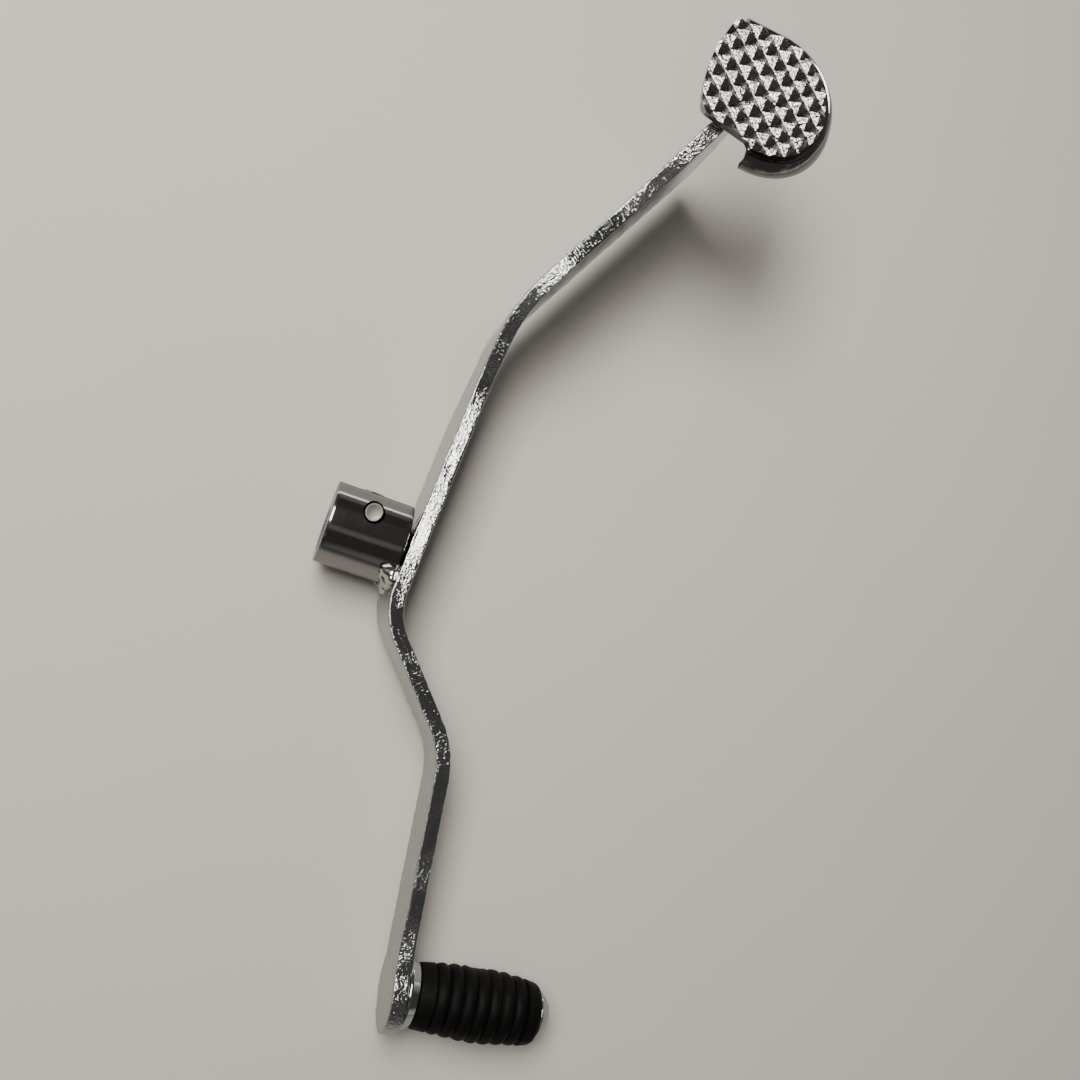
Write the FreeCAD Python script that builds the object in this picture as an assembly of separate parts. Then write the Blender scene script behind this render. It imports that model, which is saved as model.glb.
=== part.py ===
import FreeCAD, Part
import math
import os

# Heel-and-toe gear shift lever for a motorcycle, in millimetres.
# The origin is on the axis of the splined bore, half way along the boss.
# +X points forward to the toe peg, +Y outward from the engine, +Z up.

V = FreeCAD.Vector
UP = V(0, 0, 1)

# --- flat bar: bent in plan, cut to a side profile ---
BAR_T = 4.5
# face towards the engine, from heel to toe: x, y, bend radius
PLAN_BENDS = [(-163, 64.5, 0), (-78, 18.1, 45), (20.2, 11.1, 22), (52.8, 39.5, 26), (140, 49.7, 0)]
# edges seen from the side, from heel to toe: x, z, corner radius
TOP_EDGE = [(-163, 56, 0), (-148, 56, 8), (-116, 35, 18), (-93, 33, 14), (-58, 16, 20),
            (20, 13, 40), (52, 10.3, 40), (122, 5.6, 0)]
BOTTOM_EDGE = [(122, -12.9, 0), (56, -8.5, 40), (27, -5.5, 12), (14, -14.5, 12), (-50, -14.5, 16),
               (-66, -3, 16), (-94, 14, 14), (-116, 18, 18), (-145, 40, 12), (-163, 43, 3)]
EYE_R = 11.5
BLANK_SPAN = 140.0     # wider and taller than the bent bar
BLANK_LOW_Z = -60.0

# --- clamp boss ---
BOSS_R = 12.5
BOSS_L = 23.5
BOSS_X = -2.4          # the boss is eccentric, thicker on the bolt's side
BOSS_EDGE = 0.4
SPLINE_TEETH = 36
SPLINE_CREST_R = 6.25
SPLINE_ROOT_R = 6.65
SPLINE_GAP_SHARE = 0.46
BORE_CHAMFER = 0.75
SLIT_W = 2.0

# --- M6 pinch bolt, square to the slit and clear of the bore ---
BOLT_LEAN = 13.5       # degrees from +Z towards +X
BOLT_OFFSET = 9.9      # from the bore's axis to the bolt's axis
BOLT_R = 2.95
TAPPED_R = 3.0
CLEAR_R = 3.3
BOLT_L = 20.0
BOLT_TIP = 9.2         # height of the tip above the slit
HEAD_FLATS = 10.0
HEAD_H = 4.0
HEAD_BEVEL = 0.9
TIP_BEVEL = 0.6
WASHER_R = 4.9
WASHER_T = 1.58
WASHER_GAP = 0.02      # under the head and over the seat
WASHER_SPLIT = 0.8
WASHER_SLANT = 35      # degrees
SEAT_R = 6.3

# --- weld beads ---
BOSS_BEAD_R = 2.9
BOSS_BEAD_OUT = 0.2    # the bead's centre line, outside the boss
BOSS_BEAD_SINK = 0.6   # the bead's centre line, back from the end of the boss
BOSS_BEAD_FROM = -130  # degrees round the boss, 0 at +X, 90 at +Z
BOSS_BEAD_TO = 42
PAD_BEAD_LEG = 4.0
PAD_BEAD_L = 14.0

# --- toe peg and its rubber, along the peg's own axis ---
PEG_X = 121.6
PEG_Z = -3.5
PEG_LEAN = 3.5         # degrees from +Y towards -X
PEG_R = 5.0
FLANGE_R = 10.4
FLANGE_FACE_R = 9.0
FLANGE_T = 3.8
FLANGE_RIM = 0.8
RUBBER_L = 38.0
RUBBER_END_R = 8.9
RUBBER_MID_R = 10.4
RUBBER_TIP_R = 8.3
COLLAR_L = 5.0
COLLAR_ROUND = 0.8
RIB_COUNT = 7
RIB_DEPTH = 0.9
PEG_HEAD_R = 7.0
PEG_HEAD_H = 4.3

# --- heel pad ---
PAD_PEAK_Z = 60.0
PYRAMID_H = 1.7
PYRAMID_PITCH = 5.0
PYRAMID_CENTRE = V(-155.4, 65.3, 0)
PAD_PLATE_Z = 56.0     # underside of the plate
SKIRT_FLARE = 3.3
SKIRT_TOP_Z = 57.4
SKIRT_LOW_Z = 53.2
SKIRT_WALL = 2.0
PYRAMID_ROWS = 11      # in each direction, enough to cross the pad
# seen from above, from the heel's inner corner towards the toe: x, y, corner radius
PAD_INNER = [(-172.5, 50, 0.8), (-156.5, 43.8, 45), (-140, 47, 3), (-136.7, 63.4, 0)]
# the rounded outer side, which the skirt follows: x, y, corner radius, growth of x and y and radius
PAD_OUTER = [(-134.5, 65, 0, 1, -0.4, 0), (-134.5, 86.5, 19.5, 1, 1, 1), (-175, 86.5, 19.5, -1, 1, 1),
             (-174.8, 54.6, 1, -1, 1, 0)]


def unit_towards(a, b):
    return (b - a).normalize()


def rounded_face(points):
    """A face in the XY plane through x, y, radius points, with each corner rounded by its radius."""
    corners = [V(x, y, 0) for x, y, _ in points]
    edges = []
    joints = []
    for i, (_, _, radius) in enumerate(points):
        here = corners[i]
        back = unit_towards(here, corners[i - 1])
        ahead = unit_towards(here, corners[(i + 1) % len(corners)])
        if radius == 0:
            joints.append((here, here))
            continue
        half = back.getAngle(ahead) / 2
        reach = radius / math.tan(half)
        middle = here + (back + ahead).normalize() * (radius / math.sin(half) - radius)
        start, end = here + back * reach, here + ahead * reach
        joints.append((start, end))
        edges.append(Part.Arc(start, middle, end).toShape())
    for i, (_, end) in enumerate(joints):
        following = joints[(i + 1) % len(joints)][0]
        if (following - end).Length > 1e-6:
            edges.append(Part.makeLine(end, following))
    return Part.Face(Part.Wire(Part.__sortEdges__(edges)))


def offset_bends(bends, distance):
    """The same bent line moved sideways, to the left of its direction of travel."""
    points = [V(x, y, 0) for x, y, _ in bends]
    runs = [unit_towards(a, b) for a, b in zip(points, points[1:])]
    normals = [V(-run.y, run.x, 0) for run in runs]
    moved = []
    for i, (_, _, radius) in enumerate(bends):
        before = normals[max(i - 1, 0)]
        after = normals[min(i, len(runs) - 1)]
        shift = (before + after) * (distance / (1 + before.dot(after)))
        turn = before.cross(after).z
        new_radius = radius - math.copysign(distance, turn) if radius else 0
        moved.append((points[i].x + shift.x, points[i].y + shift.y, new_radius))
    return moved


def upright(face_in_xy):
    """Turns a face drawn as x, z in the XY plane up into the XZ plane."""
    return face_in_xy.rotate(V(), V(1, 0, 0), 90)


def bar_direction(x):
    """Unit vector along the bar, in plan, at the given x."""
    for (x0, y0, _), (x1, y1, _) in zip(PLAN_BENDS, PLAN_BENDS[1:]):
        if x0 <= x <= x1:
            return V(x1 - x0, y1 - y0, 0).normalize()


def inner_face_y(x):
    """y of the bar's engine-side face, ignoring the bend radii."""
    for (x0, y0, _), (x1, y1, _) in zip(PLAN_BENDS, PLAN_BENDS[1:]):
        if x0 <= x <= x1:
            return y0 + (y1 - y0) * (x - x0) / (x1 - x0)


def revolve_about_y(profile):
    """Turns a closed outline of radius, y points round the Y axis."""
    outline = Part.makePolygon([V(r, y, 0) for r, y in profile + profile[:1]])
    return Part.Face(outline).revolve(V(), V(0, 1, 0), 360)


def to_peg(shape):
    """Moves a shape built round the Y axis onto the peg's axis, y = 0 at the bar's outer face."""
    along = V(-math.sin(math.radians(PEG_LEAN)), math.cos(math.radians(PEG_LEAN)), 0)
    inner = V(PEG_X, inner_face_y(PEG_X), PEG_Z)
    normal = UP.cross(bar_direction(PEG_X))
    shape.rotate(V(), UP, PEG_LEAN)
    shape.translate(inner + along * (BAR_T / along.dot(normal)))
    return shape


def to_bolt(shape):
    """Moves a shape built round the Z axis onto the pinch bolt's axis."""
    shape.translate(V(-BOLT_OFFSET, 0, 0))
    return shape.rotate(V(), V(0, 1, 0), BOLT_LEAN)


def bar_slab(low, high):
    """A block that fills the space between two distances from the toe bar's engine-side face."""
    along = bar_direction(PEG_X)
    side = 6 * EYE_R
    block = Part.makeBox(side, high - low, side, V(-side / 2, low, -side / 2))
    block.rotate(V(), UP, math.degrees(math.atan2(along.y, along.x)))
    return block.translate(V(PEG_X, inner_face_y(PEG_X), PEG_Z))


def make_bar_blank():
    outer = offset_bends(PLAN_BENDS, BAR_T)
    strip = rounded_face(PLAN_BENDS + outer[::-1]).extrude(UP * BLANK_SPAN)
    strip.translate(UP * BLANK_LOW_Z)
    side = upright(rounded_face(TOP_EDGE + BOTTOM_EDGE)).extrude(V(0, BLANK_SPAN, 0))
    eye = Part.makeCylinder(EYE_R, BLANK_SPAN, V(PEG_X, 0, PEG_Z), V(0, 1, 0))
    return strip.common(side.fuse(eye)).removeSplitter()


def make_spigot():
    """The peg's riveted end, longer than the bar is thick."""
    return Part.makeCylinder(PEG_R, 4 * BAR_T, V(0, -2 * BAR_T, 0), V(0, 1, 0))


def make_arm_bar(blank):
    return blank.cut(to_peg(make_spigot()))


def make_spline_tool():
    """The bore with its serrations: flat crests at the small radius, V roots at the large one."""
    pitch = 2 * math.pi / SPLINE_TEETH
    half_gap = pitch * SPLINE_GAP_SHARE / 2

    def at(radius, angle):
        return V(radius * math.cos(angle), -BOSS_L, radius * math.sin(angle))

    edges = []
    for tooth in range(SPLINE_TEETH):
        root = tooth * pitch
        left, right = root - half_gap, root + half_gap
        following = left + pitch
        edges.append(Part.makeLine(at(SPLINE_CREST_R, left), at(SPLINE_ROOT_R, root)))
        edges.append(Part.makeLine(at(SPLINE_ROOT_R, root), at(SPLINE_CREST_R, right)))
        crest = (right + following) / 2
        edges.append(Part.Arc(at(SPLINE_CREST_R, right), at(SPLINE_CREST_R, crest),
                              at(SPLINE_CREST_R, following)).toShape())
    return Part.Face(Part.Wire(edges)).extrude(V(0, 2 * BOSS_L, 0))


def make_clamp_boss():
    half = BOSS_L / 2
    boss = Part.makeCylinder(BOSS_R, BOSS_L, V(BOSS_X, -half, 0), V(0, 1, 0))
    boss = boss.makeChamfer(BOSS_EDGE, [boss.Edges[0], boss.Edges[2]])
    boss = boss.cut(make_spline_tool())
    mouth_r = SPLINE_CREST_R + BORE_CHAMFER
    for side in (-1, 1):
        mouth = Part.makeCone(mouth_r, SPLINE_CREST_R, BORE_CHAMFER, V(0, side * half, 0), V(0, -side, 0))
        boss = boss.cut(mouth)
    slit = Part.makeBox(BOSS_R * 2, BOSS_L, SLIT_W, V(-BOSS_R * 2, -half, -SLIT_W / 2))
    boss = boss.cut(slit.rotate(V(), V(0, 1, 0), BOLT_LEAN))
    seat_z = BOLT_TIP - BOLT_L + WASHER_T + 2 * WASHER_GAP
    boss = boss.cut(to_bolt(Part.makeCylinder(TAPPED_R, BOSS_R * 2)))
    boss = boss.cut(to_bolt(Part.makeCylinder(CLEAR_R, BOSS_R * 2, V(0, 0, -BOSS_R * 2))))
    return boss.cut(to_bolt(Part.makeCylinder(SEAT_R, BOSS_R, V(0, 0, seat_z - BOSS_R))))


def make_pinch_bolt():
    under_head = BOLT_TIP - BOLT_L
    shank = Part.makeCylinder(BOLT_R, BOLT_L, V(0, 0, under_head))
    shank = shank.makeChamfer(TIP_BEVEL, [e for e in shank.Edges if abs(e.CenterOfMass.z - BOLT_TIP) < 0.1])
    corner_r = HEAD_FLATS / 2 / math.cos(math.pi / 6)
    turns = [math.radians(30 + 60 * k) for k in range(7)]
    low = V(0, 0, under_head - HEAD_H)
    corners = [low + V(corner_r * math.cos(turn), corner_r * math.sin(turn), 0) for turn in turns]
    head = Part.Face(Part.makePolygon(corners)).extrude(UP * HEAD_H)
    crown = Part.makeCone(corner_r - HEAD_BEVEL, corner_r + HEAD_H, HEAD_H + HEAD_BEVEL, low)
    return to_bolt(shank.fuse(head.common(crown)).removeSplitter())


def make_lock_washer():
    """A split spring washer, closed flat under the head, with its slanted gap."""
    low = BOLT_TIP - BOLT_L + WASHER_GAP
    ring = Part.makeCylinder(WASHER_R, WASHER_T, V(0, 0, low))
    ring = ring.cut(Part.makeCylinder(BOLT_R + 0.1, WASHER_T, V(0, 0, low)))
    gap = Part.makeBox(WASHER_R + 1, WASHER_SPLIT, 3 * WASHER_T, V(0, -WASHER_SPLIT / 2, -1.5 * WASHER_T))
    gap.rotate(V(), V(1, 0, 0), WASHER_SLANT)
    return to_bolt(ring.cut(gap.translate(V(0, 0, low + WASHER_T / 2))))


def make_boss_weld(bar):
    """A fillet bead round the toe side of the boss, laid into the corner with the bar."""
    bead = Part.makeTorus(BOSS_R + BOSS_BEAD_OUT, BOSS_BEAD_R, V(), UP, 0, 360, BOSS_BEAD_TO - BOSS_BEAD_FROM)
    bead.rotate(V(), UP, BOSS_BEAD_FROM)
    upright(bead).translate(V(BOSS_X, BOSS_L / 2 - BOSS_BEAD_SINK, 0))
    bead = bead.cut(Part.makeCylinder(BOSS_R, BOSS_L, V(BOSS_X, -BOSS_L / 2, 0), V(0, 1, 0)))
    bead = bead.cut(bar)
    return max(bead.Solids, key=lambda solid: solid.Volume)


def make_toe_peg():
    tip = FLANGE_T + RUBBER_L
    shaft = revolve_about_y([(0, -BAR_T), (FLANGE_R, -BAR_T), (FLANGE_R, FLANGE_RIM),
                             (FLANGE_FACE_R, FLANGE_T), (PEG_R, FLANGE_T), (PEG_R, tip), (0, tip)])
    dome_r = (PEG_HEAD_R ** 2 + PEG_HEAD_H ** 2) / (2 * PEG_HEAD_H)
    dome = Part.makeSphere(dome_r, V(0, tip + PEG_HEAD_H - dome_r, 0))
    dome = dome.common(Part.makeCylinder(PEG_HEAD_R, PEG_HEAD_H, V(0, tip, 0), V(0, 1, 0)))
    outside = to_peg(shaft.fuse(dome)).cut(bar_slab(-2 * BAR_T, BAR_T))
    spigot = to_peg(make_spigot()).common(bar_slab(0, BAR_T))
    return outside.fuse(spigot).removeSplitter()


def make_toe_rubber():
    """A barrel with a plain collar at each end and half-round ribs between."""
    middle = RUBBER_L / 2
    pitch = (RUBBER_L - 2 * COLLAR_L) / RIB_COUNT

    def barrel_r(s):
        end_r = RUBBER_END_R if s < middle else RUBBER_TIP_R
        return RUBBER_MID_R - (RUBBER_MID_R - end_r) * ((s - middle) / middle) ** 2

    def groove_r(s):
        return barrel_r(s) - RIB_DEPTH

    edges = []
    outline = [V(PEG_R, 0, 0), V(barrel_r(0) - COLLAR_ROUND, 0, 0), V(barrel_r(0), COLLAR_ROUND, 0),
               V(barrel_r(COLLAR_L), COLLAR_L - RIB_DEPTH / 2, 0)]
    edges += [Part.makeLine(a, b) for a, b in zip(outline, outline[1:])]
    last = outline[-1]
    for rib in range(RIB_COUNT):
        low, high = COLLAR_L + rib * pitch, COLLAR_L + (rib + 1) * pitch
        foot, crest, toe = (V(groove_r(low), low, 0), V(barrel_r((low + high) / 2), (low + high) / 2, 0),
                            V(groove_r(high), high, 0))
        if rib == 0:
            edges.append(Part.makeLine(last, foot))
        edges.append(Part.Arc(foot, crest, toe).toShape())
        last = toe
    outline = [last, V(barrel_r(RUBBER_L - COLLAR_L), RUBBER_L - COLLAR_L + RIB_DEPTH / 2, 0),
               V(barrel_r(RUBBER_L), RUBBER_L - 2 * COLLAR_ROUND, 0),
               V(barrel_r(RUBBER_L) - 2 * COLLAR_ROUND, RUBBER_L, 0), V(PEG_R, RUBBER_L, 0), V(PEG_R, 0, 0)]
    edges += [Part.makeLine(a, b) for a, b in zip(outline, outline[1:])]
    sleeve = Part.Face(Part.Wire(edges)).revolve(V(), V(0, 1, 0), 360)
    return to_peg(sleeve.translate(V(0, FLANGE_T, 0)))


def pad_outline(grow, z):
    """The pad seen from above; only its outer, rounded side grows."""
    outer = [(x + grow * gx, y + grow * gy, radius + grow * gr) for x, y, radius, gx, gy, gr in PAD_OUTER]
    return rounded_face(PAD_INNER + outer).translate(UP * z)


def make_pyramid_grooves():
    """V grooves in two directions at 45 degrees to the pad; what they leave is a field of pyramids."""
    valley_z = PAD_PEAK_Z - PYRAMID_H
    half = PYRAMID_PITCH / 2
    section = [V(-half, 0, PAD_PEAK_Z), V(0, 0, valley_z), V(half, 0, PAD_PEAK_Z), V(-half, 0, PAD_PEAK_Z)]
    length = 2 * PYRAMID_ROWS * PYRAMID_PITCH
    grooves = []
    for turn in (45, 135):
        for k in range(PYRAMID_ROWS):
            groove = Part.Face(Part.makePolygon(section)).extrude(V(0, length, 0))
            groove.translate(V((k - PYRAMID_ROWS // 2) * PYRAMID_PITCH, -length / 2, 0))
            grooves.append(groove.rotate(V(), UP, turn).translate(PYRAMID_CENTRE))
    return grooves


def make_heel_pad():
    """A plate with a raised field of pyramids and a skirt that rolls down round its outer side."""
    block = pad_outline(0, PAD_PLATE_Z).extrude(V(0, 0, PAD_PEAK_Z - PAD_PLATE_Z))
    for groove in make_pyramid_grooves():
        block = block.cut(groove)
    skirt = pad_outline(SKIRT_FLARE, SKIRT_LOW_Z).extrude(V(0, 0, SKIRT_TOP_Z - SKIRT_LOW_Z))
    inside = pad_outline(SKIRT_FLARE - SKIRT_WALL, SKIRT_LOW_Z).extrude(V(0, 0, PAD_PLATE_Z - SKIRT_LOW_Z))
    return block.fuse(skirt.cut(inside)).removeSplitter()


def make_heel_pad_weld(bar, pad):
    """A fillet bead along each side of the bar, under the pad."""
    along = bar_direction(PLAN_BENDS[0][0])
    across = UP.cross(along)
    start = V(PLAN_BENDS[0][0] + 1, inner_face_y(PLAN_BENDS[0][0] + 1), PAD_PLATE_Z)
    beads = []
    for side, foot in ((-1, start), (1, start + across * BAR_T)):
        corner = [foot, foot + across * (side * PAD_BEAD_LEG), foot - UP * PAD_BEAD_LEG, foot]
        beads.append(Part.Face(Part.makePolygon(corner)).extrude(along * PAD_BEAD_L))
    return Part.makeCompound([bead.cut(bar).cut(pad) for bead in beads])


def export(name, shape):
    if not shape.isValid():
        raise ValueError(name + " is not a valid solid")
    shape.exportStep("parts/" + name + ".step")
    print(name, len(shape.Solids), "solid,", round(shape.Volume), "mm3")


os.makedirs("parts", exist_ok=True)
blank = make_bar_blank()
heel_pad = make_heel_pad()
export("arm_bar", make_arm_bar(blank))
export("clamp_boss", make_clamp_boss())
export("boss_weld", make_boss_weld(blank))
export("pinch_bolt", make_pinch_bolt())
export("lock_washer", make_lock_washer())
export("toe_peg", make_toe_peg())
export("toe_rubber", make_toe_rubber())
export("heel_pad", heel_pad)
export("heel_pad_weld", make_heel_pad_weld(blank, heel_pad))
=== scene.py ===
# %% [markdown]
# # A heel-and-toe gear lever
# The real lever is a flat steel bar, bent three times and set on edge. A splined boss is welded
# to its engine side, a knurled pad to its heel end, and a peg with a ribbed rubber is riveted
# through its toe end. Everything but the rubber and the bolt is chromed.
# The frame holds the sizes. Here each piece that shows is worked out again as a fine surface,
# in the same place, so that edges, welds, threads and ribs are real geometry.

# %% Load the frame
import math

import bpy
import bmesh
import numpy as np
from mathutils import Matrix, Vector


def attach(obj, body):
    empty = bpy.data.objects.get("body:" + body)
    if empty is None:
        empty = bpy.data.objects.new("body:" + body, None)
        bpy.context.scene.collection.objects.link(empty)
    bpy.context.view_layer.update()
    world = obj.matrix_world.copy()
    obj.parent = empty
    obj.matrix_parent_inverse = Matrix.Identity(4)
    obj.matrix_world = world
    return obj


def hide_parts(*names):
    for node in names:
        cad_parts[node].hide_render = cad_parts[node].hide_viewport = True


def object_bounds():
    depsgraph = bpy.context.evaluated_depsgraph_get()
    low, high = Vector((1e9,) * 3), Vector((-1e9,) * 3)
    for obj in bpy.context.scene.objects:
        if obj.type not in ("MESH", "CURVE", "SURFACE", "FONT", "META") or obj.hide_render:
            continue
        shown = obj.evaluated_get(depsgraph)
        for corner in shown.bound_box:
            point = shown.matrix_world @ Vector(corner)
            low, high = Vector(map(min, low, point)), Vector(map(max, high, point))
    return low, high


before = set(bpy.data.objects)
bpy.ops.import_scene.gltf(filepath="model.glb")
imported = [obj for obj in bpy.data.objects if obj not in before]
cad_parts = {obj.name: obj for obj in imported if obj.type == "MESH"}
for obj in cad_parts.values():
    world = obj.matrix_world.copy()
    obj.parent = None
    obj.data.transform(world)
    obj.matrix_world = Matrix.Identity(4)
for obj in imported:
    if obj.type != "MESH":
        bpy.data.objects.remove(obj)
cad_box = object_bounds()
MM = 0.001

# %% [markdown]
# ## Surfaces from arrays
# A surface here is a grid of points: one index runs along the piece, the other round it.
# numpy works out all points at once, and the same small function turns every grid into a mesh.
# Rows that shrink to one point, at a pole or a tip, are merged afterwards, so the skin is closed.

# %% Grid to mesh
def grid_faces(rows, columns):
    """Corner numbers of every quad: each joins a point to its neighbours in the next row and column."""
    r, c = np.meshgrid(np.arange(rows - 1), np.arange(columns), indexing="ij")
    following = (c + 1) % columns
    quads = [r * columns + c, r * columns + following, (r + 1) * columns + following, (r + 1) * columns + c]
    return np.stack(quads, axis=-1).reshape(-1, 4)


def add_skin(name, *grids, crease=35, mark=None, run=None):
    """Makes one closed object from grids of points in millimetres, each closed round its columns.

    Edges sharper than crease degrees stay sharp. mark is a number from 0 to 1 at each point, kept as
    the attribute mark. run is a map with one column more than the grid, so that it has a seam."""
    faces, points, start = [], [], 0
    for grid in grids:
        rows, columns, _ = grid.shape
        faces.append(grid_faces(rows, columns) + start)
        points.append(grid.reshape(-1, 3))
        start += rows * columns
    mesh = bpy.data.meshes.new(name)
    mesh.from_pydata((np.concatenate(points) * MM).tolist(), [], np.concatenate(faces).tolist())
    if mark is not None:
        mesh.attributes.new("mark", "FLOAT", "POINT").data.foreach_set("value", mark.ravel())
    if run is not None:
        corners = [run[:-1, :-1], run[:-1, 1:], run[1:, 1:], run[1:, :-1]]
        mesh.uv_layers.new(name="run").data.foreach_set("uv", np.stack(corners, axis=2).ravel())
    work = bmesh.new()
    work.from_mesh(mesh)
    bmesh.ops.remove_doubles(work, verts=work.verts, dist=1e-6)
    bmesh.ops.holes_fill(work, edges=work.edges)
    bmesh.ops.recalc_face_normals(work, faces=work.faces)
    work.to_mesh(mesh)
    work.free()
    mesh.shade_smooth()
    mesh.set_sharp_from_angle(angle=math.radians(crease))
    piece = bpy.data.objects.new(name, mesh)
    bpy.context.scene.collection.objects.link(piece)
    return piece


def spun(profile, turns):
    """Carries a profile of radius, height points round the Z axis in the given number of steps."""
    radius, height = np.asarray(profile, float).T
    angle = np.linspace(0, 2 * np.pi, turns, endpoint=False)
    x = radius[:, None] * np.cos(angle)
    y = radius[:, None] * np.sin(angle)
    return np.stack([x, y, np.broadcast_to(height[:, None], x.shape)], axis=-1)


def turned(grid, matrix, origin=(0, 0, 0)):
    """The grid turned by a 3 by 3 matrix, then moved to an origin."""
    return grid @ np.asarray(matrix, float).T + np.asarray(origin, float)


def finer(points, step):
    """The same polyline with points no further apart than step."""
    points = np.asarray(points, float)
    out = [points[:1]]
    for a, b in zip(points, points[1:]):
        count = max(1, int(np.ceil(np.linalg.norm(b - a) / step)))
        out.append(a + (b - a) * (np.arange(1, count + 1) / count)[:, None])
    return np.concatenate(out)


def rounded_line(corners, step=0.5):
    """A polyline through x, y, radius corners, with an arc of that radius at each inner corner."""
    corners = np.asarray(corners, float)
    path = [corners[0, :2]]
    for before, here, after in zip(corners, corners[1:], corners[2:]):
        back = (before[:2] - here[:2]) / np.linalg.norm(before[:2] - here[:2])
        ahead = (after[:2] - here[:2]) / np.linalg.norm(after[:2] - here[:2])
        half = np.arccos(np.clip(back @ ahead, -1, 1)) / 2
        radius = max(here[2], 1e-3)
        middle = (back + ahead) / np.linalg.norm(back + ahead)
        centre = here[:2] + middle * radius / np.sin(half)
        sweep = np.pi / 2 - half
        side = math.copysign(1, back[1] * ahead[0] - back[0] * ahead[1])
        turn = np.linspace(-sweep, sweep, max(3, int(2 * sweep * radius / step) + 2))
        spoke = -middle * radius
        cos, sin = np.cos(side * turn), np.sin(side * turn)
        path += [centre + np.array([spoke[0] * c - spoke[1] * s, spoke[0] * s + spoke[1] * c])
                 for c, s in zip(cos, sin)]
    path.append(corners[-1, :2])
    return np.array(path)


# %% [markdown]
# Chrome shows every small wave of the metal under it, so the meshes get their waves from noise.
# This noise is a sum of sine waves in random directions, from one seed, so that every run is the same.

# %% Seeded waves
def waves(points, size, seed, count=24):
    """Smooth noise of about -1 to 1 at points in millimetres: summed sines of roughly one wavelength."""
    draw = np.random.default_rng(seed)
    direction = draw.normal(size=(count, 3))
    direction /= np.linalg.norm(direction, axis=1, keepdims=True)
    rate = 2 * np.pi / (size * draw.uniform(0.7, 1.5, count))
    phase = draw.uniform(0, 2 * np.pi, count)
    total = np.sin(points @ (direction * rate[:, None]).T + phase).sum(axis=-1)
    return total / np.sqrt(count)


# %% [markdown]
# ## Finishes
# One function turns an sRGB hex colour into the linear numbers that Blender wants,
# and one adds a node with its settings and links. All metals keep the default IOR.

# %% Node helpers
def linear(hex_colour):
    """sRGB hex to linear RGBA."""
    srgb = [int(hex_colour[i:i + 2], 16) / 255 for i in (1, 3, 5)]
    return [c / 12.92 if c <= 0.04045 else ((c + 0.055) / 1.055) ** 2.4 for c in srgb] + [1.0]


def node(tree, kind, settings=None, **inputs):
    """Adds a node; settings are its properties, inputs are values or sockets to link by input name."""
    made = tree.nodes.new(kind)
    for key, value in (settings or {}).items():
        setattr(made, key, value)
    for key, value in inputs.items():
        socket = made.inputs[int(key[1:])] if key[0] == "_" else made.inputs[key.replace("_", " ")]
        if isinstance(value, bpy.types.NodeSocket):
            tree.links.new(value, socket)
        else:
            socket.default_value = value
    return made


def new_finish(name):
    """An empty material with its tree and output node."""
    material = bpy.data.materials.new(name)
    material.use_nodes = True
    material.node_tree.nodes.clear()
    return material, material.node_tree


def per_metre(millimetres):
    """Noise scale for a feature of this size, as Object coordinates are in metres."""
    return 1.0 / (millimetres * MM)


def span(tree, source, low, high):
    """Maps a 0 to 1 socket to low to high."""
    return node(tree, "ShaderNodeMapRange", None, Value=source, To_Min=low, To_Max=high).outputs[0]


# %% [markdown]
# Bright chrome is a mirror over nickel: metallic, slightly blue-grey, roughness under 0.2.
# What makes it real is what shows through: faint waves from polishing, fine pits, and a film
# of handling marks that makes some patches a little duller.

# %% Bright chrome
def bright_chrome(name, colour="#a9abab", dull=0.0, wave_mm=3.0, wave_height=0.012, pits=0.2,
                  smooth_below=-1000):
    """Polished steel under chrome; dull adds roughness, wave_mm is the size of the polishing waves.

    Below the height smooth_below, in millimetres, the waves and pits are a tenth as strong."""
    material, tree = new_finish(name)
    place = node(tree, "ShaderNodeTexCoord").outputs["Object"]
    film = node(tree, "ShaderNodeTexNoise", None, Vector=place, Scale=per_metre(9), Detail=4.0,
                Roughness=0.6).outputs["Fac"]
    waviness = node(tree, "ShaderNodeTexNoise", None, Vector=place, Scale=per_metre(wave_mm),
                    Detail=2.0).outputs["Fac"]
    speck = node(tree, "ShaderNodeTexVoronoi", None, Vector=place, Scale=per_metre(0.9)).outputs["Distance"]
    pit = node(tree, "ShaderNodeMapRange", None, Value=speck, From_Min=0.0, From_Max=0.22,
               To_Min=0.0, To_Max=1.0).outputs[0]
    height = node(tree, "ShaderNodeSeparateXYZ", None, Vector=place).outputs["Z"]
    rugged = node(tree, "ShaderNodeMapRange", None, Value=height, From_Min=(smooth_below - 0.2) * MM,
                  From_Max=smooth_below * MM, To_Min=0.1, To_Max=1.0).outputs[0]
    relief = node(tree, "ShaderNodeMath", {"operation": "MULTIPLY"}, _0=waviness, _1=rugged).outputs[0]
    pitted = node(tree, "ShaderNodeMath", {"operation": "MULTIPLY"}, _0=pit, _1=rugged).outputs[0]
    first = node(tree, "ShaderNodeBump", None, Height=relief, Distance=wave_height * MM, Strength=1.0)
    second = node(tree, "ShaderNodeBump", None, Height=pitted, Distance=0.01 * MM, Strength=pits,
                  Normal=first.outputs[0])
    shader = node(tree, "ShaderNodeBsdfPrincipled", None, Base_Color=linear(colour), Metallic=1.0,
                  Specular_Tint=linear("#dadada"), Roughness=span(tree, film, 0.04 + dull, 0.14 + dull),
                  Normal=second.outputs[0])
    node(tree, "ShaderNodeOutputMaterial", None, Surface=shader.outputs[0])
    return material


# %% [markdown]
# The bar's narrow edges were only ground before plating, across the bar, so they glitter.
# The piece carries a map: u runs along the bar and v round its section, both in metres,
# and an attribute called mark is 1 on the narrow edges and 0 on the flat faces.

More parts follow.
